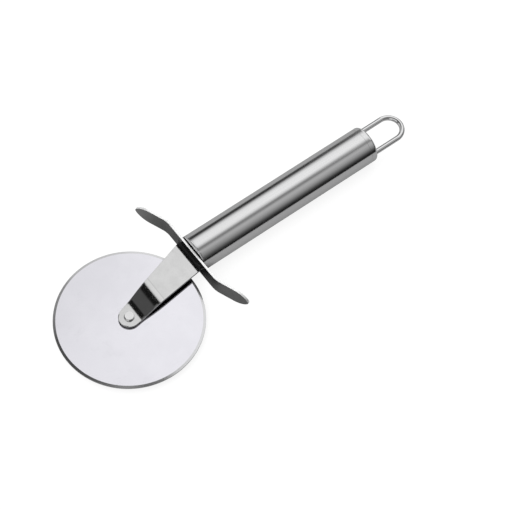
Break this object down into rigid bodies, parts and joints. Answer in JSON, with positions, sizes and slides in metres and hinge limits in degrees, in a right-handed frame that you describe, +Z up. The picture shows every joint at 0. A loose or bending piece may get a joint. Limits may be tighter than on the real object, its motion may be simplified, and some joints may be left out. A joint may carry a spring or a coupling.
{
  "type": "pizza cutter",
  "caption": "Pizza cutter with a spinning bevelled wheel on a joggled sheet arm, an S-shaped finger guard, a tube handle and a wire hanging loop.",
  "frame": {"origin": "middle of the overall length and width, on the level of the tube's lowest line", "axes": "+Z is up with the cutter lying on its side and the wheel parallel to the ground, +X runs along the handle from the wheel to the hanging loop, +Y is towards the guard wing that is swept to the wheel"},
  "size_m": [0.1954, 0.076, 0.0178],
  "materials": {
    "blade_steel": "mirror-polished stainless steel",
    "bracket_steel": "polished stainless steel",
    "guard_steel": "satin stainless steel",
    "handle_steel": "stainless steel brushed lengthwise",
    "wire_steel": "bright polished wire"
  },
  "bodies": {
    "handle_body": {"handle_tube": "handle_steel", "front_cap": "handle_steel", "rear_cap": "handle_steel", "hanging_loop": "wire_steel", "finger_guard": "guard_steel", "bracket_arm": "bracket_steel", "axle_rivet": "bracket_steel", "upper_washer": "bracket_steel", "lower_washer": "bracket_steel"},
    "wheel_body": {"cutting_wheel": "blade_steel"}
  },
  "joints": [
    {"name": "wheel_spin", "type": "hinge", "parent": "handle_body", "child": "wheel_body", "pos_m": [-0.06373, -0.00405, 0.00372], "axis": [0, 0, 1], "continuous": true}
  ]
}
